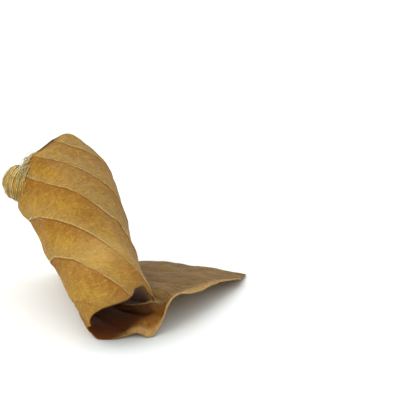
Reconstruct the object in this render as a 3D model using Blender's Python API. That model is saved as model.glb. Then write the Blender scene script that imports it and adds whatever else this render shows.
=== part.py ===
"""A dry, rolled beech leaf, as one thin closed solid.

Units are metres, +Z is up, and the leaf rests on the plane Z = 0. The origin is under the
middle of its bounding box. The front (-Y) shows the open mouth of the roll.

The blade is one sheet. Its rows run along the leaf: the first rows arch over the roll, from
the free margin on the right, over the top, to the midrib on the left. The other rows carry the
second half of the blade down to the ground and out to the right, where it ends in a point.
A smooth surface goes through the points of all rows, and then gets its thickness.
The base of the blade is curled into a small coil at the far end of the midrib.
"""

import math

import bmesh
import bpy
import numpy as np

MM = 0.001

# Driving dimensions, in millimetres.
THICKNESS = 0.5
MOUTH_HALF_WIDTH = 6.5
MOUTH_HALF_HEIGHT = 5.1
FAR_HALF_WIDTH = 8.4
FAR_HALF_HEIGHT = 7.8
FAR_DISTANCE = 36.0
MOUTH_CENTRE = np.array((-0.2, -1.4, 5.0))
ROLL_DIRECTION = np.array((-0.298, 0.876, 0.377))
BOX_CENTRE = np.array((0.6, 13.35, 0.0))

# How far along a row, from the near margin to the far one, its points lie.
STATIONS = np.array((0.0, 0.12, 0.35, 0.65, 1.0))

# Rows over the roll: the angle round the roll in degrees at the near and at the far margin, then
# the distance of these two margins along the roll. The free margin tucks under towards the far end.
ROLL_ROWS = (
    (8, -115, 0.9, 25.5),
    (16, -60, 0.5, 27.5),
    (27, -10, 0.1, 28.5),
    (42, 30, -0.1, 31.4),
    (58, 55, 0.3, 33.8),
    (68, 67, -0.5, 35.0),
    (78, 78, -1.5, 35.7),
    (100, 100, -1.9, 34.4),
    (125, 125, -2.0, 33.5),
    (150, 150, -1.5, 33.3),
    (175, 175, -1.4, 31.6),
    (200, 200, -1.6, 30.0),
)
TUCK_POWER = 1.4

# Rows of the second half, one point for each station, from the midrib to the tip on the right.
GROUND_ROWS = (
    ((-5.6, -0.3, 1.5), (-6.6, 3.0, 2.3), (-8.7, 9.5, 4.2), (-10.9, 18.0, 6.4), (-12.6, 27.2, 8.4)),
    ((-3.8, -0.9, 0.3), (-4.4, 3.0, 0.9), (-6.0, 10.0, 2.2), (-8.0, 19.0, 2.6), (-9.4, 28.5, 2.6)),
    ((0.2, -0.8, 0.25), (-0.2, 3.2, 1.6), (-1.0, 11.0, 2.9), (-2.2, 20.0, 2.0), (-3.6, 30.8, 0.25)),
    ((3.2, -0.3, 0.8), (3.2, 3.4, 3.6), (2.6, 12.0, 4.2), (1.8, 22.0, 2.5), (0.8, 32.4, 0.25)),
    ((6.0, -0.4, 0.25), (6.8, 3.3, 4.6), (6.6, 12.0, 4.5), (6.2, 21.8, 2.7), (5.6, 32.3, 0.3)),
    ((8.3, 2.7, 4.95), (8.6, 5.2, 4.9), (9.2, 12.6, 4.3), (9.5, 21.4, 2.6), (9.6, 31.3, 0.4)),
    ((12.0, 8.3, 4.6), (12.2, 10.4, 4.5), (12.8, 16.0, 3.7), (13.3, 23.0, 2.2), (13.6, 29.8, 0.4)),
    ((16.0, 15.2, 3.4), (16.2, 16.6, 3.2), (16.7, 20.4, 2.4), (17.2, 24.8, 1.3), (17.5, 28.4, 0.4)),
    ((20.0, 22.6, 1.2), (20.2, 23.2, 1.05), (20.5, 24.5, 0.8), (20.8, 25.9, 0.5), (21.0, 27.0, 0.35)),
)

# The curled base: a small coil whose round end points to the left and back. Its outer turn starts
# at the lower back. Angles round the coil are counted from straight up towards the back.
CURL_CENTRE = np.array((-16.3, 24.6, 17.9))
CURL_AXIS = np.array((-0.86, 0.50, 0.08))
CURL_RADIUS = 3.35
CURL_STRETCH = 1.1
CURL_TURNS = 1.6
CURL_STEP = 1.0
CURL_START = 140
CURL_LOW = -35
CURL_HIGH = 77

SHEET_ROWS = 61
SHEET_COLUMNS = 26
CURL_ROWS = 33
CURL_COLUMNS = 9


def roll_axes():
    """The roll's own directions: along it, to its right, and up across it."""
    along = ROLL_DIRECTION / np.linalg.norm(ROLL_DIRECTION)
    right = np.array((along[1], -along[0], 0.0))
    right /= np.linalg.norm(right)
    return along, right, np.cross(right, along)


def roll_point(angle, distance):
    """A point on the roll, whose cross-section is an ellipse that widens towards the far end."""
    along, right, up = roll_axes()
    share = distance / FAR_DISTANCE
    half_width = MOUTH_HALF_WIDTH + (FAR_HALF_WIDTH - MOUTH_HALF_WIDTH) * share
    half_height = MOUTH_HALF_HEIGHT + (FAR_HALF_HEIGHT - MOUTH_HALF_HEIGHT) * share
    turn = math.radians(angle)
    across = right * half_width * math.cos(turn) + up * half_height * math.sin(turn)
    return MOUTH_CENTRE + along * distance + across


def control_points():
    """All rows of the blade, from the free margin of the roll to the tip on the ground."""
    rows = []
    for near_angle, far_angle, near, far in ROLL_ROWS:
        angles = near_angle + (far_angle - near_angle) * STATIONS ** TUCK_POWER
        distances = near + (far - near) * STATIONS
        rows.append([roll_point(a, d) for a, d in zip(angles, distances)])
    rows.extend(GROUND_ROWS)
    return np.array(rows, dtype=float)


def smooth_through(knots, values, wanted):
    """A natural cubic spline through values at the knots, read at the wanted places."""
    count = len(knots)
    gaps = np.diff(knots)
    flat = values.reshape(count, -1)
    matrix = np.eye(count)
    sides = np.zeros_like(flat)
    for i in range(1, count - 1):
        matrix[i, i - 1:i + 2] = gaps[i - 1], 2 * (gaps[i - 1] + gaps[i]), gaps[i]
        after = (flat[i + 1] - flat[i]) / gaps[i]
        before = (flat[i] - flat[i - 1]) / gaps[i - 1]
        sides[i] = 6 * (after - before)
    bends = np.linalg.solve(matrix, sides)
    span = np.clip(np.searchsorted(knots, wanted, side="right") - 1, 0, count - 2)
    gap = gaps[span][:, None]
    left = (knots[span + 1] - wanted)[:, None] / gap
    right = (wanted - knots[span])[:, None] / gap
    curve = left * flat[span] + right * flat[span + 1]
    curve += ((left ** 3 - left) * bends[span] + (right ** 3 - right) * bends[span + 1]) * gap ** 2 / 6
    return curve.reshape((len(wanted),) + values.shape[1:])


def blade_grid():
    """The middle surface of the blade as a grid of points, in millimetres."""
    net = control_points()
    steps = np.linalg.norm(np.diff(net, axis=0), axis=2).mean(axis=1)
    knots = np.concatenate(((0.0,), np.cumsum(steps)))
    rows = smooth_through(knots, net, np.linspace(0, knots[-1], SHEET_ROWS))
    turned = np.swapaxes(rows, 0, 1)
    grid = smooth_through(STATIONS, turned, np.linspace(0, 1, SHEET_COLUMNS))
    return np.swapaxes(grid, 0, 1)


def grid_normals(grid):
    """Unit normals of the grid."""
    normals = np.cross(np.gradient(grid, axis=0), np.gradient(grid, axis=1))
    return normals / np.linalg.norm(normals, axis=2, keepdims=True)


def add_shell(mesh, outer, inner):
    """Two grids of points and the rim between them, as one closed skin."""
    rows, columns = outer.shape[:2]
    a, b = ([[mesh.verts.new(point) for point in row] for row in side] for side in (outer, inner))
    for i in range(rows - 1):
        for k in range(columns - 1):
            mesh.faces.new((a[i][k], a[i + 1][k], a[i + 1][k + 1], a[i][k + 1]))
            mesh.faces.new((b[i][k + 1], b[i + 1][k + 1], b[i + 1][k], b[i][k]))
        for k in (0, columns - 1):
            mesh.faces.new((a[i][k], b[i][k], b[i + 1][k], a[i + 1][k]))
    for i in (0, rows - 1):
        for k in range(columns - 1):
            mesh.faces.new((a[i][k], a[i][k + 1], b[i][k + 1], b[i][k]))


def finish_mesh(mesh, name):
    """Turn the faces outwards and make the object."""
    bmesh.ops.recalc_face_normals(mesh, faces=mesh.faces)
    if mesh.calc_volume(signed=True) < 0:
        bmesh.ops.reverse_faces(mesh, faces=mesh.faces)
    data = bpy.data.meshes.new(name)
    mesh.to_mesh(data)
    mesh.free()
    thing = bpy.data.objects.new(name, data)
    bpy.context.scene.collection.objects.link(thing)
    return thing


def placed(points):
    """Points from leaf millimetres to metres round the origin."""
    return (points - BOX_CENTRE) * MM


def make_blade():
    """The sheet with its thickness. Its lower skin stops at the ground."""
    grid = blade_grid()
    offset = grid_normals(grid) * THICKNESS / 2
    skins = [grid + offset, grid - offset]
    for skin in skins:
        skin[..., 2] = np.maximum(skin[..., 2], 0.0)
    mesh = bmesh.new()
    add_shell(mesh, placed(skins[0]), placed(skins[1]))
    return finish_mesh(mesh, "leaf")


def curl_skin(side):
    """One skin of the coil: a ball whose radius shrinks as it turns about the coil's axis."""
    axis = CURL_AXIS / np.linalg.norm(CURL_AXIS)
    back = np.cross(axis, (0.0, 0.0, 1.0))
    back /= np.linalg.norm(back)
    up = np.cross(back, axis)
    wound = np.linspace(0, CURL_TURNS, CURL_ROWS)[:, None]
    turn = math.radians(CURL_START) + wound * 2 * math.pi
    tilt = np.radians(np.linspace(CURL_LOW, CURL_HIGH, CURL_COLUMNS))
    radius = CURL_RADIUS - CURL_STEP * wound + side * THICKNESS / 2
    parts = (
        (radius * np.cos(tilt) * np.cos(turn), up),
        (radius * np.cos(tilt) * np.sin(turn), back),
        (radius * np.sin(tilt) * CURL_STRETCH, axis),
    )
    return CURL_CENTRE + sum(amount[..., None] * direction for amount, direction in parts)


def make_curl():
    """The coil at the base of the blade."""
    mesh = bmesh.new()
    add_shell(mesh, placed(curl_skin(1)), placed(curl_skin(-1)))
    return finish_mesh(mesh, "leaf_curl")


def dry_leaf_material():
    """Golden brown, dull, with no metal."""
    material = bpy.data.materials.new("dry_leaf")
    material.use_nodes = True
    shader = material.node_tree.nodes["Principled BSDF"]
    shader.inputs["Base Color"].default_value = (0.45, 0.24, 0.075, 1.0)
    shader.inputs["Roughness"].default_value = 0.62
    shader.inputs["Metallic"].default_value = 0.0
    return material


def main():
    for thing in list(bpy.data.objects):
        bpy.data.objects.remove(thing)
    leaf = make_blade()
    curl = make_curl()
    leaf.data.materials.append(dry_leaf_material())
    curl.hide_render = True
    curl.display_type = "WIRE"
    union = leaf.modifiers.new("join the curl", "BOOLEAN")
    union.operation = "UNION"
    union.solver = "EXACT"
    union.object = curl


main()
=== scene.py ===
"""The looks of a dry, rolled beech leaf: blade, veins, crinkles, silk threads and a plain stage.

The blade is one surface in two parameters, one across the leaf and one along it. It is worked out
as whole arrays, gets its pleats and veins as heights along its normals, and then its two skins.
"""
import math

import bpy
import numpy as np
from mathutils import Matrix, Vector


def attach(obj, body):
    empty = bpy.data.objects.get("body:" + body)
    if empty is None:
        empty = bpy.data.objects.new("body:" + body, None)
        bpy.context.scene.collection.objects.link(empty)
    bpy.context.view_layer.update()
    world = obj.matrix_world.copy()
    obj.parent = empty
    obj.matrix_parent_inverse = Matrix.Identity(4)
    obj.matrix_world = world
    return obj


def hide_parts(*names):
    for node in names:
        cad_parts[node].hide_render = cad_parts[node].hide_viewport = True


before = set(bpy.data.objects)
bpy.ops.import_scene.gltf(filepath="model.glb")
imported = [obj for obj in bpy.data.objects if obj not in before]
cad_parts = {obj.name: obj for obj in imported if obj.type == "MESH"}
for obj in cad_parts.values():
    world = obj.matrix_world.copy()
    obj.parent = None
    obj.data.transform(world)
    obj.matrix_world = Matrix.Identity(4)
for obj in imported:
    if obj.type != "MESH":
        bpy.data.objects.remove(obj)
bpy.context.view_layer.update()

MM = 0.001

# The blade's shape, in millimetres, as the solid part has it.
MOUTH_HALF_WIDTH = 6.5
MOUTH_HALF_HEIGHT = 5.1
FAR_HALF_WIDTH = 8.4
FAR_HALF_HEIGHT = 7.8
FAR_DISTANCE = 36.0
MOUTH_CENTRE = np.array((-0.2, -1.4, 5.0))
ROLL_DIRECTION = np.array((-0.298, 0.876, 0.377))
BOX_CENTRE = np.array((0.6, 13.35, 0.0))
STATIONS = np.array((0.0, 0.12, 0.35, 0.65, 1.0))

# Rows over the roll: angle round it at the near and far margin, then distance of both margins.
ROLL_ROWS = (
    (8, -115, 0.9, 25.5),
    (16, -60, 0.5, 27.5),
    (27, -10, 0.1, 28.5),
    (42, 30, -0.1, 31.4),
    (58, 55, 0.3, 33.8),
    (68, 67, -0.5, 35.0),
    (78, 78, -1.5, 35.7),
    (100, 100, -1.9, 34.4),
    (125, 125, -2.0, 33.5),
    (150, 150, -1.5, 33.3),
    (175, 175, -1.4, 31.6),
    (200, 200, -1.6, 30.0),
)
MIDRIB_ROW = 11
TUCK_POWER = 1.4

# Rows of the second half, one point for each station, from the midrib to the tip on the right.
GROUND_ROWS = (
    ((-5.6, -0.3, 1.5), (-6.6, 3.0, 2.3), (-8.7, 9.5, 4.2), (-10.9, 18.0, 6.4), (-12.6, 27.2, 8.4)),
    ((-3.8, -0.9, 0.3), (-4.4, 3.0, 0.9), (-6.0, 10.0, 2.2), (-8.0, 19.0, 2.6), (-9.4, 28.5, 2.6)),
    ((0.2, -0.8, 0.25), (-0.2, 3.2, 1.6), (-1.0, 11.0, 2.9), (-2.2, 20.0, 2.0), (-3.6, 30.8, 0.25)),
    ((3.2, -0.3, 0.8), (3.2, 3.4, 3.6), (2.6, 12.0, 4.2), (1.8, 22.0, 2.5), (0.8, 32.4, 0.25)),
    ((6.0, -0.4, 0.25), (6.8, 3.3, 4.6), (6.6, 12.0, 4.5), (6.2, 21.8, 2.7), (5.6, 32.3, 0.3)),
    ((8.3, 2.7, 4.95), (8.6, 5.2, 4.9), (9.2, 12.6, 4.3), (9.5, 21.4, 2.6), (9.6, 31.3, 0.4)),
    ((12.0, 8.3, 4.6), (12.2, 10.4, 4.5), (12.8, 16.0, 3.7), (13.3, 23.0, 2.2), (13.6, 29.8, 0.4)),
    ((16.0, 15.2, 3.4), (16.2, 16.6, 3.2), (16.7, 20.4, 2.4), (17.2, 24.8, 1.3), (17.5, 28.4, 0.4)),
    ((20.0, 22.6, 1.2), (20.2, 23.2, 1.05), (20.5, 24.5, 0.8), (20.8, 25.9, 0.5), (21.0, 27.0, 0.35)),
)

# The curled base, a small coil.
CURL_CENTRE = np.array((-16.3, 24.6, 17.9))
CURL_AXIS = np.array((-0.86, 0.50, 0.08))
CURL_RADIUS = 3.35
CURL_STRETCH = 1.1
CURL_TURNS = 1.6
CURL_STEP = 1.0
CURL_START = 140
CURL_LOW = -35
CURL_HIGH = 77

# The blade's fineness and relief.
SKIN = 0.22
ACROSS = 280
ALONG = 156
PLEAT = 0.42
VEIN_HEIGHT = 0.10
VEIN_WIDTH = 0.20
MIDRIB_HEIGHT = 0.34
MIDRIB_WIDTH = 0.55

# Two sizes of wrinkles, each with its height, random seed and length.
WRINKLES = ((0.10, 4, 7.0), (0.035, 9, 2.2))

# The least height over the ground for the blade. The silk keeps twice as much.
GROUND_GAP = 0.01

# How far the blade lies within the solid part's middle surface: on the roll's left, and on its
# right half way along. Further along, its right swells outside that surface, and the far margin's
# inset is taken from the swollen surface. The corner's dip is at the midrib in the mouth.
LEFT_INSET = 0.62
RIGHT_INSET = 0.62
RIGHT_FAR_SWELL = 0.30
FAR_MARGIN_INSET = 0.80
CORNER_DIP = 0.55

# How the mouth's edge leaves its even line: reach from the midrib, width, and shift along the roll.
RIM_SHIFTS = ((13.7, 1.1, 0.90), (16.2, 1.35, 1.25), (-0.5, 2.2, 0.9), (-18.0, 3.0, 0.8))

# The fold that runs from the flap into the roll: reach and distance of its line, its height and
# width, and the hollow on its side towards the mouth, as a share of the fold's height.
FOLD_REACH = np.array((-22.6, -19.0, -17.9, -16.0, -15.0, -14.2, -12.0))
FOLD_DISTANCE = np.array((1.0, 2.0, 2.7, 3.2, 3.8, 4.9, 7.5))
FOLD_HEIGHT = 0.72
FOLD_WIDTH = 0.45
HOLLOW_SHARE = 1.1
HOLLOW_OFFSET = 1.3
HOLLOW_WIDTH = 0.9

# Where the painted sheen, a paler patch on the roll's front, has its middle.
SHEEN_PATCH_REACH = 11.6
SHEEN_PATCH_DISTANCE = 9.6

# How many millimetres one unit of the sheet map spans, and how many veins one of the vein map.
SHEET_SPAN = 50
VEIN_SPAN = 10

# The coil's fineness.
COIL_ROWS = 150
COIL_COLUMNS = 44

# Silk: the strands' half thickness, their points and sides, and how many run where.
SILK_RADIUS = 0.035
SILK_POINTS = 34
SILK_SIDES = 5
WRAPS = 17
SEAM_STRANDS = 46
CROSS_STRANDS = 16
TUFT_STRANDS = 3
BRIDGE_STRANDS = 30

# Which side veins have a tuft, and between which reaches from the midrib it starts.
TUFT_REACH = {3: (0.8, 4.5), 4: (5.0, 9.0)}

# Side veins by number, counted from the mouth: where each leaves the midrib along the roll, how
# steeply it runs towards the mouth, and how much it bends on its way. The first two are a guess
# that carries on the spacing of the next ones.
VEIN_STARTS = np.array((-6.0, 4.9, 15.7, 26.4, 43.0, 45.3, 50.6, 60.0))
VEIN_SLOPES = np.array((0.30, 0.30, 0.25, 0.62, 1.93, 1.41, 1.65, 1.65))
VEIN_BENDS = np.array((0.12, 0.11, 0.098, 0.0446, -0.0245, -0.0162, -0.033, -0.033))

# The table, the light and the camera. FRAME_WIDTH is what the frame spans at the aim.
FLOOR_HALF_SIZE = 3.0
FLOOR_COLOUR = (0.845, 0.868, 0.848, 1.0)
WORLD_STRENGTH = 0.80
LIGHT_AIM = (0, 0, 0.01)
LIGHTS = (
    ("overhead", (-0.12, 0.20, 0.50), 0.90, 2.1),
    ("left", (-0.38, -0.25, 0.44), 0.50, 1.85),
)
CAMERA_ELEVATION = 22.0
CAMERA_DISTANCE = 2.50
FRAME_WIDTH = 200 / 3 * MM
LENS = 500.0
AIM_RIGHT = 13.3
AIM_UP = 22.8
AIM_BACK = 12.0


def roll_axes():
    """The roll's own directions: along it, to its right, and up across it."""
    along = ROLL_DIRECTION / np.linalg.norm(ROLL_DIRECTION)
    right = np.array((along[1], -along[0], 0.0))
    right /= np.linalg.norm(right)
    return along, right, np.cross(right, along)


def roll_points(angle, distance):
    """Points on the roll: an ellipse across it, whose half axes grow evenly with distance."""
    along, right, up = roll_axes()
    share = (distance / FAR_DISTANCE)[:, None]
    half_width = MOUTH_HALF_WIDTH + (FAR_HALF_WIDTH - MOUTH_HALF_WIDTH) * share
    half_height = MOUTH_HALF_HEIGHT + (FAR_HALF_HEIGHT - MOUTH_HALF_HEIGHT) * share
    turn = np.radians(angle)[:, None]
    across = right * half_width * np.cos(turn) + up * half_height * np.sin(turn)
    return MOUTH_CENTRE + along * distance[:, None] + across


def control_points():
    """All rows of the blade, from the free margin of the roll to the tip on the ground."""
    rows = []
    for near_angle, far_angle, near, far in ROLL_ROWS:
        angles = near_angle + (far_angle - near_angle) * STATIONS ** TUCK_POWER
        rows.append(roll_points(angles, near + (far - near) * STATIONS))
    rows.extend(GROUND_ROWS)
    return np.array(rows, dtype=float)


def smooth_through(knots, values, wanted):
    """A natural cubic spline through values at the knots, read at the wanted places."""
    count = len(knots)
    gaps = np.diff(knots)
    flat = values.reshape(count, -1)
    matrix = np.eye(count)
    sides = np.zeros_like(flat)
    for i in range(1, count - 1):
        matrix[i, i - 1:i + 2] = gaps[i - 1], 2 * (gaps[i - 1] + gaps[i]), gaps[i]
        after = (flat[i + 1] - flat[i]) / gaps[i]
        before = (flat[i] - flat[i - 1]) / gaps[i - 1]
        sides[i] = 6 * (after - before)
    bends = np.linalg.solve(matrix, sides)
    span = np.clip(np.searchsorted(knots, wanted, side="right") - 1, 0, count - 2)
    gap = gaps[span][:, None]
    left = (knots[span + 1] - wanted)[:, None] / gap
    right = (wanted - knots[span])[:, None] / gap
    curve = left * flat[span] + right * flat[span + 1]
    curve += ((left ** 3 - left) * bends[span] + (right ** 3 - right) * bends[span + 1]) * gap ** 2 / 6
    return curve.reshape((len(wanted),) + values.shape[1:])


def unit(vectors):
    """Vectors of length one in the same directions."""
    return vectors / np.linalg.norm(vectors, axis=-1, keepdims=True)


def grid_normals(grid):
    """Unit normals of a grid of points."""
    return unit(np.cross(np.gradient(grid, axis=0), np.gradient(grid, axis=1)))


def bump(x, width):
    """A round hill of height one at zero."""
    return np.exp(-(x / width) ** 2)


def step(x, low, high):
    """A smooth rise from 0 at low to 1 at high, or a smooth fall where high is the smaller."""
    t = np.clip((x - low) / (high - low), 0, 1)
    return t * t * (3 - 2 * t)


def wrinkles(x, y, seed, size, count=26):
    """Soft unevenness between about -1 and 1: a sum of sine waves in random directions, whose
    lengths lie round the given size."""
    draw = np.random.default_rng(seed)
    total = np.zeros_like(x)
    for _ in range(count):
        heading = draw.uniform(0, 2 * math.pi)
        length = size * draw.uniform(0.6, 1.9)
        phase = draw.uniform(0, 2 * math.pi)
        wave = np.sin(2 * math.pi * (x * math.cos(heading) + y * math.sin(heading)) / length + phase)
        total += wave * length / size
    return total / math.sqrt(count * 1.3)


def vein_number(reach, distance):
    """Which side vein a point lies on, as a number that grows evenly from one vein to the next.
    A vein is the curve start - slope * reach - bend * reach^2 in distance along the roll. The
    number is the sum, over the gaps between neighbouring veins, of the share of each gap passed."""
    across = np.abs(reach)[..., None]
    curves = VEIN_STARTS - VEIN_SLOPES * across - VEIN_BENDS * across ** 2
    passed = (distance[..., None] - curves[..., :-1]) / np.diff(curves, axis=-1)
    return np.clip(passed, 0, 1).sum(axis=-1)


class Blade:
    """The blade's middle surface, with each point's reach from the midrib, distance along the roll
    and vein number."""

    def __init__(self):
        net = control_points()
        steps = np.linalg.norm(np.diff(net, axis=0), axis=2).mean(axis=1)
        knots = np.concatenate(((0.0,), np.cumsum(steps)))
        wanted = np.linspace(0, knots[-1], ACROSS)
        rows = smooth_through(knots, net, wanted)
        share = np.linspace(0, 1, ALONG)
        self.points = np.swapaxes(smooth_through(STATIONS, np.swapaxes(rows, 0, 1), share), 0, 1)
        lengths = np.linalg.norm(np.diff(self.points, axis=0), axis=2)
        walked = np.vstack((np.zeros(ALONG), np.cumsum(lengths, axis=0)))
        midrib = np.array([np.interp(knots[MIDRIB_ROW], wanted, walked[:, k]) for k in range(ALONG)])
        self.reach = midrib - walked
        shift = sum(size * bump(self.reach - at, width) for at, width, size in RIM_SHIFTS)
        self.points += (shift * (1 - share) ** 6)[..., None] * roll_axes()[0]
        self.distance = (self.points - MOUTH_CENTRE) @ roll_axes()[0]
        self.share = np.broadcast_to(share, self.reach.shape)
        self.vein = vein_number(self.reach, self.distance)
        self.normals = grid_normals(self.points)


def fold_line(blade):
    """How far a point lies beyond the fold's line, in distance along the roll, and how fully the
    fold has risen there."""
    line = np.interp(blade.reach, FOLD_REACH, FOLD_DISTANCE)
    risen = step(blade.reach, -21.5, -18.5) * step(-blade.reach, 11.5, 14.0)
    return blade.distance - line, risen


def relief(blade):
    """Heights along the normal, up on the outer side. They are the sum of pleats with their crests
    on the veins, the veins' own ridges, the midrib, small wrinkles, the insets of the roll's two
    sides, a dip at the midrib's end in the mouth, and the fold beside the flap, which rises to the
    inner side and has a hollow before it."""
    off = blade.vein - np.round(blade.vein)
    fade = np.clip(np.abs(blade.reach) / 3, 0, 1) * np.clip(1.25 - np.abs(blade.reach) / 40, 0.3, 1)
    height = PLEAT * fade * ((1 - 2 * np.abs(off)) ** 1.6 - 0.4)
    height += VEIN_HEIGHT * bump(off * 9.0, VEIN_WIDTH) * fade
    height += MIDRIB_HEIGHT * bump(blade.reach, MIDRIB_WIDTH) * step(blade.share, 0.0, 0.22)
    for size, seed, length in WRINKLES:
        height += size * wrinkles(blade.reach, blade.distance, seed, length)
    left = LEFT_INSET * step(blade.share, 0.97, 0.86) * (1 - 0.50 * bump(blade.share - 0.62, 0.07))
    right = RIGHT_INSET * step(blade.share, 0.75, 0.35) * step(blade.share, 0.05, 0.38)
    right = right - RIGHT_FAR_SWELL * step(blade.share, 0.60, 0.85)
    right = right + FAR_MARGIN_INSET * step(blade.share, 0.86, 1.0) * bump(blade.reach - 22.5, 5.5)
    side = step(blade.reach, 8.0, 14.0)
    height -= step(blade.reach, -8.0, -3.0) * (left * (1 - side) + right * side)
    height -= CORNER_DIP * bump(blade.reach + 0.5, 3.0) * (1 - blade.share) ** 8
    past, risen = fold_line(blade)
    hollow = HOLLOW_SHARE * bump(past + HOLLOW_OFFSET, HOLLOW_WIDTH)
    height -= FOLD_HEIGHT * risen * (bump(past, FOLD_WIDTH) - hollow)
    return height


def deep(blade):
    """Where the inner skin lies within the roll and gets painted shade of the roll's hollow as a darker
    brown: full round the roll and on the floor of it, fading out on the flap and the flat half."""
    inwards = step(blade.reach + 3.4 * blade.distance, -15.5, -11.5)
    covered = step(blade.reach + 0.04 * blade.distance, -18.3, -16.9)
    return np.where(blade.reach > 0, 1.0, np.minimum(inwards, covered))


def bleached(blade):
    """A painted sheen: a paler patch on the roll's front, above its mouth."""
    return bump(blade.reach - SHEEN_PATCH_REACH, 5.0) * bump(blade.distance - SHEEN_PATCH_DISTANCE, 3.4)


def rust(blade):
    """Redder tissue on the roll's floor just within the mouth."""
    return step(blade.reach, -12.8, -10.2) * step(blade.distance, 8.0, 2.5) * step(blade.reach, 9.0, 3.0)


def rim(blade):
    """Duller tissue on the outside along the mouth's upper edge and the flat half's front edge."""
    upper = step(blade.reach, 1.0, 6.0)
    return step(blade.share, 0.11, 0.0) * np.maximum(upper, 1.2 * step(-blade.reach, 12.0, 15.0))


def past_fold(blade):
    """How far a point lies beyond the fold's line, in units of 2 mm, and at most one of them."""
    return np.clip(fold_line(blade)[0] / 2, -1, 1)


def fold_worn(blade):
    """Where along the fold its crest gets a painted highlight, a pale line."""
    return step(blade.reach, -19.5, -18.2) * step(-blade.reach, 13.2, 14.6)


def warm(blade):
    """Redder brown tissue on the flap at the mouth."""
    before = step(fold_line(blade)[0], -0.2, -0.8)
    return step(blade.reach, -24.0, -21.0) * step(-blade.reach, 9.0, 13.0) * before


def pale(blade):
    """A painted highlight along edges: the very edge of the blade at the mouth, and the flat half's front
    edge.
    """
    lip = 0.85 * step(blade.share, 0.040, 0.016) * step(-blade.reach, 9.0, 14.0)
    front = 0.65 * step(blade.share, 0.24, 0.02) * step(-blade.reach, 21.5, 24.5)
    return np.maximum(lip, front)


def dark_edge(blade):
    """Painted shade along the far margin's folded edge, left of its highest point: a thick dark line."""
    return step(blade.share, 0.982, 0.994) * step(blade.reach, 10.0, 11.5) * step(blade.reach, 15.5, 14.0)


def plain(blade):
    """How plainly the veins show: less on the first one over the mouth, and not on its lip."""
    return 1 - 0.85 * step(blade.vein, 1.5, 1.2) * step(blade.reach, -1.0, 1.0)


def grey(blade):
    """Paler, greyer tissue towards the roll's free margin."""
    beside = step(blade.reach + 0.25 * blade.distance, 17.5, 20.5)
    return 0.35 * step(blade.reach, 10.0, 20.0) + 0.65 * beside


# Every mask, by whose name the blade and the coil store it and the leaf's material reads it.
MASKS = (bleached, deep, rust, rim, warm, pale, past_fold, fold_worn, dark_edge, plain, grey)


def shell_faces(rows, columns):
    """Faces of two skins of rows times columns points and of the rim between them."""
    index = np.arange(rows * columns).reshape(rows, columns)
    other = index + rows * columns
    a, b, c, d = index[:-1, :-1], index[1:, :-1], index[1:, 1:], index[:-1, 1:]
    top = np.stack((a, b, c, d), axis=-1).reshape(-1, 4)
    low = np.stack((d, c, b, a), axis=-1).reshape(-1, 4) + rows * columns
    ring = np.concatenate((index[:-1, 0], index[-1, :-1], index[:0:-1, -1], index[0, :0:-1]))
    under = ring + rows * columns
    rim = np.stack((ring, under, np.roll(under, -1), np.roll(ring, -1)), axis=-1)
    return np.concatenate((top, low, rim))[:, ::-1]


def make_mesh(name, points, faces, material, maps=None, values=None):
    """A smooth mesh object in metres, with UV maps and per-point values."""
    data = bpy.data.meshes.new(name)
    data.from_pydata(((points - BOX_CENTRE) * MM).tolist(), [], faces.tolist())
    data.materials.append(material)
    data.shade_smooth()
    corners = np.empty(len(data.loops), dtype=np.int32)
    data.loops.foreach_get("vertex_index", corners)
    for key, uv in (maps or {}).items():
        layer = data.uv_layers.new(name=key)
        layer.uv.foreach_set("vector", uv[corners].astype(np.float32).ravel())
    for key, value in (values or {}).items():
        layer = data.attributes.new(key, "FLOAT", "POINT")
        layer.data.foreach_set("value", value.astype(np.float32).ravel())
    data.validate()
    thing = bpy.data.objects.new(name, data)
    bpy.context.scene.collection.objects.link(thing)
    return thing


def on_both_skins(values):
    """The same values for the points of both skins."""
    return np.concatenate((values.ravel(), values.ravel()))


def make_blade(material):
    """The blade as a closed thin shell: the middle surface with its relief, half the skin to each
    side, and kept off the ground. Gives the object, its outer skin and the blade's grid values."""
    blade = Blade()
    outward = -blade.normals
    middle = blade.points + outward * relief(blade)[..., None]
    normals = grid_normals(middle)
    normals *= np.sign((normals * outward).sum(axis=2, keepdims=True))
    skins = np.stack((middle + normals * SKIN / 2, middle - normals * SKIN / 2))
    skins[..., 2] = np.maximum(skins[..., 2], GROUND_GAP)
    reach, distance = on_both_skins(blade.reach), on_both_skins(blade.distance)
    maps = {
        "sheet": np.stack((reach, distance), axis=-1) / SHEET_SPAN,
        "veins": np.stack((reach / SHEET_SPAN, on_both_skins(blade.vein) / VEIN_SPAN), axis=-1),
    }
    values = {mask.__name__: on_both_skins(mask(blade)) for mask in MASKS}
    values["inside"] = np.concatenate((np.zeros(blade.reach.size), np.ones(blade.reach.size)))
    faces = shell_faces(ACROSS, ALONG)
    return make_mesh("leaf_blade", skins.reshape(-1, 3), faces, material, maps, values), skins[0], blade


def coil_axes():
    """The coil's own directions: along its axis, back from it, and up."""
    axis = unit(CURL_AXIS)
    back = unit(np.cross(axis, (0.0, 0.0, 1.0)))
    return axis, back, np.cross(back, axis)


def coil_points(turn, tilt, lift):
    """Points on the coil's outer turns: a ball that shrinks evenly as it turns about its axis. Both
    angles are in degrees, and the lift is the height above its middle surface."""
    axis, back, up = coil_axes()
    radius = CURL_RADIUS - CURL_STEP * (turn - CURL_START) / 360 + lift
    turn, tilt = np.radians(turn), np.radians(tilt)
    around = np.cos(turn)[..., None] * up + np.sin(turn)[..., None] * back
    across = (radius * np.cos(tilt))[..., None] * around
    return CURL_CENTRE + across + (radius * np.sin(tilt) * CURL_STRETCH)[..., None] * axis


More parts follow.
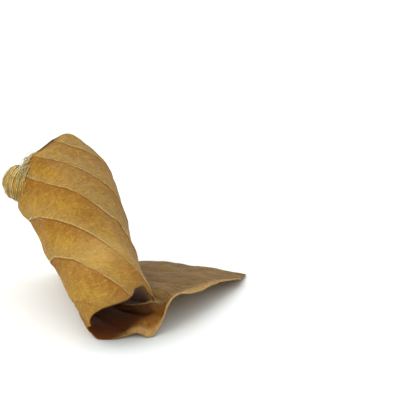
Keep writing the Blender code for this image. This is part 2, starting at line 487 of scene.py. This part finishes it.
def make_coil(material):
    """The leaf's base as a coiled closed shell, with creases that run round it."""
    turn = np.linspace(CURL_START, CURL_START + 360 * CURL_TURNS, COIL_ROWS)[:, None]
    tilt = np.linspace(CURL_LOW, CURL_HIGH, COIL_COLUMNS)[None, :]
    turn, tilt = np.broadcast_arrays(turn, tilt)
    round_it = turn / 360 * 2 * math.pi * CURL_RADIUS
    across = tilt / 360 * 2 * math.pi * CURL_RADIUS
    creases = 0.11 * wrinkles(round_it * 0.25, across, 21, 1.5) + 0.05 * wrinkles(round_it, across, 22, 1.8)
    skins = np.stack([coil_points(turn, tilt, creases + half) for half in (SKIN / 2, -SKIN / 2)])
    zero = np.zeros(turn.size * 2)
    between_veins = 0.5 / VEIN_SPAN
    maps = {
        "sheet": np.stack((on_both_skins(round_it), on_both_skins(across)), axis=-1) / SHEET_SPAN,
        "veins": np.stack((zero, zero + between_veins), axis=-1),
    }
    values = {mask.__name__: zero for mask in MASKS}
    values["inside"] = zero
    values["past_fold"] = zero + 1
    values["warm"] = zero + 0.45
    edges = step(np.abs(tilt - (CURL_LOW + CURL_HIGH) / 2), 50.0, 56.0)
    values["pale"] = on_both_skins(np.maximum(0.6 * edges, 0.35 * step(creases, 0.04, 0.16)))
    faces = shell_faces(COIL_ROWS, COIL_COLUMNS)[:, ::-1]
    return make_mesh("leaf_base_coil", skins.reshape(-1, 3), faces, material, maps, values)


def on_skin(skin, row, share):
    """Points of a skin between its grid points, from a row number and a share along the row: the
    mean of the four nearest, weighted by nearness."""
    row = np.clip(row, 0, ACROSS - 1.001)
    column = np.clip(share, 0, 1) * (ALONG - 1.001)
    i, k = row.astype(int), column.astype(int)
    right, down = (row - i)[..., None], (column - k)[..., None]
    near = skin[i, k] * (1 - right) + skin[i + 1, k] * right
    far = skin[i, k + 1] * (1 - right) + skin[i + 1, k + 1] * right
    return near * (1 - down) + far * down


def strand_tubes(paths, radius):
    """Tubes round many paths at once. Each ring lies in the plane across its path, and the tube
    thins to its two closed ends. Paths are strands by points by three."""
    strands, points = paths.shape[:2]
    run = unit(np.gradient(paths, axis=1))
    side = unit(np.cross(run, np.array((0.31, 0.72, 0.62))))
    over = np.cross(run, side)
    turn = np.arange(SILK_SIDES) * 2 * math.pi / SILK_SIDES
    slim = radius[:, None] * np.clip(np.sin(np.linspace(0.10, math.pi - 0.10, points)) * 3, 0.25, 1)
    ring = np.cos(turn)[:, None] * side[:, :, None] + np.sin(turn)[:, None] * over[:, :, None]
    tubes = paths[:, :, None] + slim[:, :, None, None] * ring
    index = np.arange(strands * points * SILK_SIDES).reshape(strands, points, SILK_SIDES)
    after = np.roll(index, -1, axis=2)
    walls = np.stack((index[:, :-1], index[:, 1:], after[:, 1:], after[:, :-1]), axis=-1).reshape(-1, 4)
    starts, ends = index[:, 0], index[:, -1, ::-1]
    return tubes.reshape(-1, 3), walls[:, ::-1], np.concatenate((starts, ends))[:, ::-1]


def silk_paths(skin, blade):
    """The silk strands' paths: wraps round the coil from top to bottom, strands along the seam and
    the far margin, strands across the seam, strands that bridge from the coil's top to the far
    margin, and tufts on two veins at the roll's left side. Gives the random draw for later use."""
    draw = np.random.default_rng(31)
    t = np.linspace(0, 1, SILK_POINTS)[None, :]
    arch = np.sin(math.pi * t)

    def spread(low, high, count):
        return draw.uniform(low, high, (count, 1))

    def waves(size, count):
        turns = spread(0.6, 2.2, count) * t + spread(0, 1, count)
        return size * np.sin(2 * math.pi * turns)

    def row_of(reach):
        return np.interp(-reach, -blade.reach[:, -1], np.arange(ACROSS))

    def outward(points):
        off = points - MOUTH_CENTRE
        return unit(off - (off @ roll_axes()[0])[..., None] * roll_axes()[0])

    start, end = spread(355, 385, WRAPS), spread(172, 196, WRAPS)
    tilt = spread(-30, 60, WRAPS) + waves(3.0, WRAPS) + spread(-12, 12, WRAPS) * (t - 0.5)
    wraps = coil_points(start + (end - start) * t, tilt, 0.17 + spread(0, 0.10, WRAPS))

    reach = spread(3.5, 11.2, SEAM_STRANDS) - spread(1.5, 5.0, SEAM_STRANDS) * t
    share = spread(0.962, 1.0, SEAM_STRANDS) + waves(0.006, SEAM_STRANDS)
    seam = on_skin(skin, row_of(np.maximum(reach, 2.4)), share)
    proud = 0.05 + spread(0.0, 0.90, SEAM_STRANDS) * arch
    seam = seam + proud[..., None] * outward(seam)

    count = CROSS_STRANDS
    left = coil_points(spread(215, 330, count), spread(-30, 5, count), spread(0.15, 0.25, count))
    right = on_skin(skin, row_of(spread(3.6, 9.5, count)), spread(0.945, 0.985, count))
    cross = left + (right - left) * t[..., None]
    cross = cross + (0.06 + 0.30 * arch)[..., None] * np.array((-0.35, -0.75, 0.35))

    count = BRIDGE_STRANDS
    high = coil_points(spread(345, 385, count), spread(-34, 12, count), spread(0.12, 0.3, count))
    edge = on_skin(skin, row_of(spread(6.5, 11.0, count)), spread(0.98, 1.0, count))
    bridge = high + (edge - high) * t[..., None]
    proud = 0.05 + spread(0.15, 1.15, count) * arch
    bridge = bridge + proud[..., None] * outward(edge)

    tufts = []
    for vein, (least, most) in TUFT_REACH.items():
        reach = spread(least, most, TUFT_STRANDS) + spread(1.2, 2.4, TUFT_STRANDS) * t
        distance = VEIN_STARTS[vein] - VEIN_SLOPES[vein] * reach - VEIN_BENDS[vein] * reach ** 2
        distance = distance + waves(0.05, TUFT_STRANDS) + spread(-0.12, 0.12, TUFT_STRANDS)
        column = ALONG // 2 + ALONG // 3
        row = np.interp(-reach, -blade.reach[:, column], np.arange(ACROSS))
        near, far = (np.interp(row, np.arange(ACROSS), blade.distance[:, k]) for k in (0, -1))
        tuft = on_skin(skin, row, (distance - near) / (far - near))
        proud = 0.03 + spread(0.0, 0.12, TUFT_STRANDS) * arch
        tufts.append(tuft + proud[..., None] * outward(tuft))
    return np.concatenate([wraps, seam, cross, bridge] + tufts), draw


def make_silk(skin, blade, material):
    """All silk strands as one fine mesh."""
    paths, draw = silk_paths(skin, blade)
    radius = SILK_RADIUS * draw.uniform(0.55, 1.35, len(paths))
    points, walls, caps = strand_tubes(paths, radius)
    points[:, 2] = np.maximum(points[:, 2], 2 * GROUND_GAP)
    data = bpy.data.meshes.new("silk_threads")
    data.from_pydata(((points - BOX_CENTRE) * MM).tolist(), [], walls.tolist() + caps.tolist())
    data.materials.append(material)
    data.shade_smooth()
    silk = bpy.data.objects.new("silk_threads", data)
    bpy.context.scene.collection.objects.link(silk)
    return silk


class Net:
    """Short ways to place nodes in one shader tree and join them."""

    def __init__(self, tree):
        self.tree = tree

    def node(self, kind, **settings):
        """A new node with its settings."""
        made = self.tree.nodes.new(kind)
        for key, value in settings.items():
            setattr(made, key, value)
        return made

    def plug(self, target, value):
        """Joins a socket to the target, or sets a number or a colour on it."""
        if isinstance(value, bpy.types.NodeSocket):
            self.tree.links.new(value, target)
        else:
            target.default_value = value

    def calc(self, kind, *values):
        """The result of one arithmetic step on the values."""
        made = self.node("ShaderNodeMath", operation=kind)
        for target, value in zip(made.inputs, values):
            self.plug(target, value)
        return made.outputs[0]

    def ramp(self, value, low, high, start=0.0, end=1.0):
        """The value's place between low and high, smoothly, as a number from start to end."""
        made = self.node("ShaderNodeMapRange", interpolation_type="SMOOTHSTEP")
        for target, number in zip(made.inputs, (value, low, high, start, end)):
            self.plug(target, number)
        return made.outputs[0]

    def mix(self, amount, first, second):
        """A colour between the first and the second."""
        made = self.node("ShaderNodeMix", data_type="RGBA")
        for place, value in ((0, amount), (6, first), (7, second)):
            self.plug(made.inputs[place], value)
        return made.outputs[2]

    def noise(self, vector, scale, detail=3.0, roughness=0.55):
        """Soft random tones between 0 and 1."""
        made = self.node("ShaderNodeTexNoise")
        self.plug(made.inputs["Vector"], vector)
        self.plug(made.inputs["Scale"], scale)
        self.plug(made.inputs["Detail"], detail)
        self.plug(made.inputs["Roughness"], roughness)
        return made.outputs["Fac"]

    def scaled(self, vector, factors):
        """The vector with each part multiplied."""
        made = self.node("ShaderNodeVectorMath", operation="MULTIPLY")
        self.plug(made.inputs[0], vector)
        made.inputs[1].default_value = factors
        return made.outputs[0]

    def cells(self, vector, scale, feature, output):
        """A pattern of irregular cells."""
        made = self.node("ShaderNodeTexVoronoi", feature=feature)
        self.plug(made.inputs["Vector"], vector)
        self.plug(made.inputs["Scale"], scale)
        return made.outputs[output]

    def combined(self, x, y):
        """A flat vector from two numbers."""
        made = self.node("ShaderNodeCombineXYZ")
        self.plug(made.inputs[0], x)
        self.plug(made.inputs[1], y)
        return made.outputs[0]

    def place(self, group, **values):
        """A node group in this tree, with its inputs set."""
        made = self.node("ShaderNodeGroup", node_tree=group)
        for name, value in values.items():
            self.plug(made.inputs[name], value)
        return made.outputs


def new_group(name, takes, gives):
    """A shader node group with its inputs and outputs, and the two nodes that stand for them."""
    tree = bpy.data.node_groups.new(name, "ShaderNodeTree")
    for key, kind in takes:
        tree.interface.new_socket(name=key, in_out="INPUT", socket_type="NodeSocket" + kind)
    for key, kind in gives:
        tree.interface.new_socket(name=key, in_out="OUTPUT", socket_type="NodeSocket" + kind)
    net = Net(tree)
    return tree, net, net.node("NodeGroupInput").outputs, net.node("NodeGroupOutput").inputs


def vein_group():
    """Marks of the side veins from the vein number: the pale crest, a painted shadow line on its side
    towards the mouth, painted shade on the band before the next vein, and painted light on the band just
    past the last one."""
    takes = (("Vein", "Float"), ("Width", "Float"), ("Wander", "Float"))
    gives = (("Crest", "Float"), ("Shade", "Float"), ("PleatShade", "Float"), ("PleatLight", "Float"))
    tree, net, takes, gives = new_group("vein_marks", takes, gives)
    number = net.calc("ADD", takes["Vein"], takes["Wander"])
    past = net.calc("FRACT", number)
    off = net.calc("SUBTRACT", number, net.calc("ROUND", number))
    net.plug(gives["Crest"], net.ramp(net.calc("ABSOLUTE", off), takes["Width"], 0.0))
    shifted = net.calc("ABSOLUTE", net.calc("ADD", off, net.calc("MULTIPLY", takes["Width"], 1.5)))
    net.plug(gives["Shade"], net.ramp(shifted, net.calc("MULTIPLY", takes["Width"], 1.4), 0.0))
    # Painted shade on the band before the next vein, painted light on the band just past a vein.
    net.plug(gives["PleatShade"], net.ramp(past, 0.42, 1.0))
    net.plug(gives["PleatLight"], net.ramp(past, 0.50, 0.0))
    return tree


def tissue_group():
    """The fine net of small veins: edges of cells at two sizes on the flat sheet, and the flesh
    between them. Sheet positions come in millimetres."""
    takes = (("Sheet", "Vector"),)
    gives = (("Lines", "Float"), ("Flesh", "Float"), ("Specks", "Float"), ("Clouds", "Float"))
    tree, net, takes, gives = new_group("leaf_tissue", takes, gives)
    bent = net.node("ShaderNodeVectorMath", operation="ADD")
    waver = net.node("ShaderNodeTexNoise")
    net.plug(waver.inputs["Vector"], takes["Sheet"])
    waver.inputs["Scale"].default_value = 0.8
    net.plug(bent.inputs[0], takes["Sheet"])
    net.plug(bent.inputs[1], net.scaled(waver.outputs["Color"], (0.7, 0.7, 0.0)))
    coarse = net.cells(net.scaled(bent.outputs[0], (0.55, 1.0, 1.0)), 0.85, "DISTANCE_TO_EDGE", "Distance")
    fine = net.cells(bent.outputs[0], 2.6, "DISTANCE_TO_EDGE", "Distance")
    thin_lines = net.calc("MULTIPLY", net.ramp(fine, 0.14, 0.0), 0.5)
    lines = net.calc("ADD", net.ramp(coarse, 0.09, 0.0), thin_lines)
    net.plug(gives["Lines"], net.calc("MINIMUM", lines, 1.0))
    net.plug(gives["Flesh"], net.ramp(fine, 0.0, 0.35))
    net.plug(gives["Specks"], net.ramp(net.noise(takes["Sheet"], 2.4, 3.0, 0.7), 0.50, 0.72))
    net.plug(gives["Clouds"], net.ramp(net.noise(takes["Sheet"], 0.22, 4.0, 0.6), 0.33, 0.68))
    return tree


def rgb(red, green, blue):
    """A colour from its display values between 0 and 255."""
    display = np.array((red, green, blue)) / 255
    linear = np.where(display <= 0.04045, display / 12.92, ((display + 0.055) / 1.055) ** 2.4)
    return (*linear.tolist(), 1.0)


def leaf_material(veins, tissue):
    """Dry leaf: golden brown outside with pale veins, painted shade on the bands below them and painted
    light on the bands above, and a redder, darker inside with painted shade within the roll. The face's
    side comes from the inside value, the pattern from the sheet maps."""
    material = bpy.data.materials.new("dry_leaf")
    material.use_nodes = True
    net = Net(material.node_tree)
    shader = material.node_tree.nodes["Principled BSDF"]

    sheet = net.scaled(net.node("ShaderNodeUVMap", uv_map="sheet").outputs[0], (SHEET_SPAN, SHEET_SPAN, 0))
    numbers = net.node("ShaderNodeSeparateXYZ")
    net.plug(numbers.inputs[0], net.node("ShaderNodeUVMap", uv_map="veins").outputs[0])
    reach = net.calc("ABSOLUTE", net.calc("MULTIPLY", numbers.outputs["X"], SHEET_SPAN))
    vein = net.calc("MULTIPLY", numbers.outputs["Y"], VEIN_SPAN)
    wander = net.calc("MULTIPLY", net.calc("SUBTRACT", net.noise(sheet, 0.35, 2.0), 0.5), 0.10)
    marks = net.place(veins, Vein=vein, Width=0.024, Wander=wander)
    cells = net.place(tissue, Sheet=sheet)
    inside = net.node("ShaderNodeAttribute", attribute_name="inside").outputs["Fac"]
    masks = {}
    for mask in MASKS:
        stored = net.node("ShaderNodeAttribute", attribute_name=mask.__name__)
        masks[mask.__name__] = stored.outputs["Fac"]

    def over(under, colour, mask, share):
        """A colour laid over another where the mask is, at so much of its strength."""
        return net.mix(net.calc("MULTIPLY", mask, share), under, rgb(*colour))

    fine = net.ramp(net.noise(sheet, 3.6, 4.0, 0.75), 0.36, 0.66)
    freckles = net.ramp(net.noise(sheet, 1.1, 4.0, 0.75), 0.54, 0.68)
    flecks = net.ramp(net.noise(net.scaled(sheet, (1.0, 1.7, 1.0)), 1.25, 4.0, 0.80), 0.47, 0.68)
    patches = net.ramp(net.noise(sheet, 0.40, 4.0, 0.65), 0.38, 0.64)
    golden = net.ramp(net.noise(net.scaled(sheet, (1.0, 1.3, 1.0)), 0.62, 4.0, 0.7), 0.47, 0.66)
    broken = net.ramp(net.noise(sheet, 0.30, 4.0, 0.75), 0.36, 0.60, 0.18, 1.0)
    shown = net.calc("MULTIPLY", masks["plain"], broken)
    # Painted shade and painted light on the bands between the veins, as on pleats that face away from and
    # towards the light.
    below = net.calc("MULTIPLY", marks["PleatShade"], masks["plain"])
    above = net.calc("MULTIPLY", marks["PleatLight"], masks["plain"])
    outer = net.mix(cells["Clouds"], rgb(140, 97, 24), rgb(169, 129, 42))
    outer = over(outer, (126, 76, 16), below, 0.80)
    outer = over(outer, (152, 126, 74), above, 0.62)
    outer = over(outer, (146, 122, 80), masks["grey"], 0.74)
    outer = over(outer, (146, 110, 42), patches, 0.42)
    outer = over(outer, (118, 78, 22), fine, 0.26)
    outer = over(outer, (198, 154, 64), golden, 0.26)
    outer = over(outer, (206, 172, 88), flecks, 0.34)
    outer = over(outer, (210, 174, 86), cells["Specks"], 0.12)
    # More painted shade on the band before each vein.
    outer = over(outer, (146, 90, 20), below, 0.30)
    # Painted sheen on the roll's front.
    outer = over(outer, (200, 166, 96), masks["bleached"], 0.46)
    outer = over(outer, (106, 66, 20), freckles, 0.40)
    outer = over(outer, (104, 68, 20), cells["Lines"], 0.14)
    # Painted shadow: a dark line beside each vein's ridge, on its side towards the mouth.
    outer = over(outer, (88, 56, 20), net.calc("MULTIPLY", marks["Shade"], shown), 0.58)
    outer = over(outer, (212, 182, 122), net.calc("MULTIPLY", marks["Crest"], shown), 0.64)
    outer = over(outer, (128, 92, 44), masks["rim"], 0.55)
    # Painted shade along the folded far edge.
    outer = over(outer, (66, 42, 18), masks["dark_edge"], 0.85)

    inner = net.mix(cells["Clouds"], rgb(102, 74, 32), rgb(120, 90, 38))
    drawn_out = net.combined(net.calc("MULTIPLY", vein, 22.0), net.calc("MULTIPLY", reach, 0.30))
    streaks = net.noise(drawn_out, 1.0, 5.0, 0.7)
    inner = over(inner, (66, 45, 22), net.ramp(streaks, 0.46, 0.64), 0.70)
    inner = over(inner, (148, 116, 62), net.ramp(streaks, 0.50, 0.36), 0.42)
    inner = over(inner, (158, 130, 82), cells["Lines"], 0.20)
    inner = over(inner, (160, 130, 82), marks["Crest"], 0.30)
    inner = over(inner, (146, 92, 32), masks["warm"], 0.82)
    inner = over(inner, (92, 54, 20), net.calc("MULTIPLY", masks["warm"], freckles), 0.60)
    inner = over(inner, (184, 134, 62), net.calc("MULTIPLY", masks["warm"], golden), 0.45)
    # Painted shade: the roll's hollow darkened as a darker brown.
    inner = over(inner, (86, 49, 22), masks["deep"], 0.92)
    inner = over(inner, (118, 60, 22), net.calc("MULTIPLY", masks["rust"], masks["deep"]), 0.75)

    # Painted highlight: a pale line along the fold's crest.
    near_crest = net.calc("ABSOLUTE", net.calc("SUBTRACT", masks["past_fold"], 0.04))
    crest = net.calc("MULTIPLY", net.ramp(near_crest, 0.12, 0.03), masks["fold_worn"])
    inner = over(inner, (196, 164, 108), crest, 0.72)

    colour = net.mix(inside, outer, inner)
    # The pale mask broken up by noise: on the blade, a painted highlight along the mouth's lip and the flat
    # half's front edge.
    worn = net.ramp(net.noise(sheet, 0.9, 3.0, 0.6), 0.30, 0.62, 0.55, 1.0)
    colour = over(colour, (212, 172, 106), net.calc("MULTIPLY", masks["pale"], worn), 0.82)
    net.plug(shader.inputs["Base Color"], colour)
    net.plug(shader.inputs["Roughness"], net.ramp(cells["Clouds"], 0.0, 1.0, 0.56, 0.68))
    shader.inputs["Specular IOR Level"].default_value = 0.10

    height = net.calc("MULTIPLY", cells["Lines"], 0.6)
    height = net.calc("ADD", height, net.calc("MULTIPLY", cells["Flesh"], 0.25))
    height = net.calc("ADD", height, net.calc("MULTIPLY", marks["Crest"], 1.6))
    height = net.calc("ADD", height, net.calc("MULTIPLY", net.noise(sheet, 1.6, 4.0, 0.65), 0.8))
    bump_node = net.node("ShaderNodeBump")
    bump_node.inputs["Strength"].default_value = 0.55
    bump_node.inputs["Distance"].default_value = 0.00010
    net.plug(bump_node.inputs["Height"], height)
    net.plug(shader.inputs["Normal"], bump_node.outputs[0])
    return material


def silk_material():
    """Pale, faintly green silk, a little uneven in tone along the strands."""
    material = bpy.data.materials.new("silk")
    material.use_nodes = True
    net = Net(material.node_tree)
    shader = material.node_tree.nodes["Principled BSDF"]
    place = net.node("ShaderNodeTexCoord").outputs["Object"]
    tone = net.ramp(net.noise(place, 900.0, 3.0, 0.6), 0.35, 0.65)
    net.plug(shader.inputs["Base Color"], net.mix(tone, rgb(160, 150, 104), rgb(222, 212, 166)))
    net.plug(shader.inputs["Roughness"], net.ramp(tone, 0.0, 1.0, 0.35, 0.55))
    return material


def make_floor():
    """A wide, plain, pale table."""
    half = FLOOR_HALF_SIZE
    corners = ((-half, -half, 0), (half, -half, 0), (half, half, 0), (-half, half, 0))
    data = bpy.data.meshes.new("floor")
    data.from_pydata(corners, [], [(0, 1, 2, 3)])
    floor = bpy.data.objects.new("floor", data)
    bpy.context.scene.collection.objects.link(floor)
    material = bpy.data.materials.new("pale_floor")
    material.use_nodes = True
    shader = material.node_tree.nodes["Principled BSDF"]
    shader.inputs["Base Color"].default_value = FLOOR_COLOUR
    shader.inputs["Roughness"].default_value = 0.9
    shader.inputs["Specular IOR Level"].default_value = 0.0
    data.materials.append(material)


def add_light(name, place, size, power):
    """A square soft white light at a place, turned to the leaf."""
    data = bpy.data.lights.new(name, "AREA")
    data.size = size
    data.energy = power
    light = bpy.data.objects.new(name, data)
    light.location = place
    light.rotation_euler = (Vector(LIGHT_AIM) - Vector(place)).to_track_quat("-Z", "Y").to_euler()
    bpy.context.scene.collection.objects.link(light)


def set_colour_handling():
    """Colours are shown as they are, with no film-like curve, so white light leaves the table white."""
    bpy.context.scene.view_settings.view_transform = "Standard"
    bpy.context.scene.view_settings.look = "None"


def make_world():
    """Even white light from all round."""
    world = bpy.data.worlds.new("studio")
    world.use_nodes = True
    back = world.node_tree.nodes["Background"]
    back.inputs["Color"].default_value = (1.0, 1.0, 1.0, 1.0)
    back.inputs["Strength"].default_value = WORLD_STRENGTH
    bpy.context.scene.world = world


def make_camera():
    """A long lens from the front, a little above, with the leaf in the left of the frame."""
    data = bpy.data.cameras.new("camera")
    data.lens = LENS
    data.sensor_width = FRAME_WIDTH / CAMERA_DISTANCE * LENS
    camera = bpy.data.objects.new("camera", data)
    tilt = math.radians(CAMERA_ELEVATION)
    view = Vector((0.0, math.cos(tilt), -math.sin(tilt)))
    up = Vector((0.0, math.sin(tilt), math.cos(tilt)))
    centre = Vector(-BOX_CENTRE * MM) + Vector((AIM_RIGHT * MM, 0, 0)) + up * AIM_UP * MM
    centre += view * AIM_BACK * MM
    camera.location = centre - view * CAMERA_DISTANCE
    camera.rotation_euler = view.to_track_quat("-Z", "Y").to_euler()
    bpy.context.scene.collection.objects.link(camera)
    bpy.context.scene.camera = camera


make_camera()
set_colour_handling()
make_world()
make_floor()
for light_row in LIGHTS:
    add_light(*light_row)
dry_leaf = leaf_material(vein_group(), tissue_group())
blade, skin, surface = make_blade(dry_leaf)
coil = make_coil(dry_leaf)
silk = make_silk(skin, surface, silk_material())
for piece in (blade, coil, silk):
    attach(piece, "root")
    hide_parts("leaf")
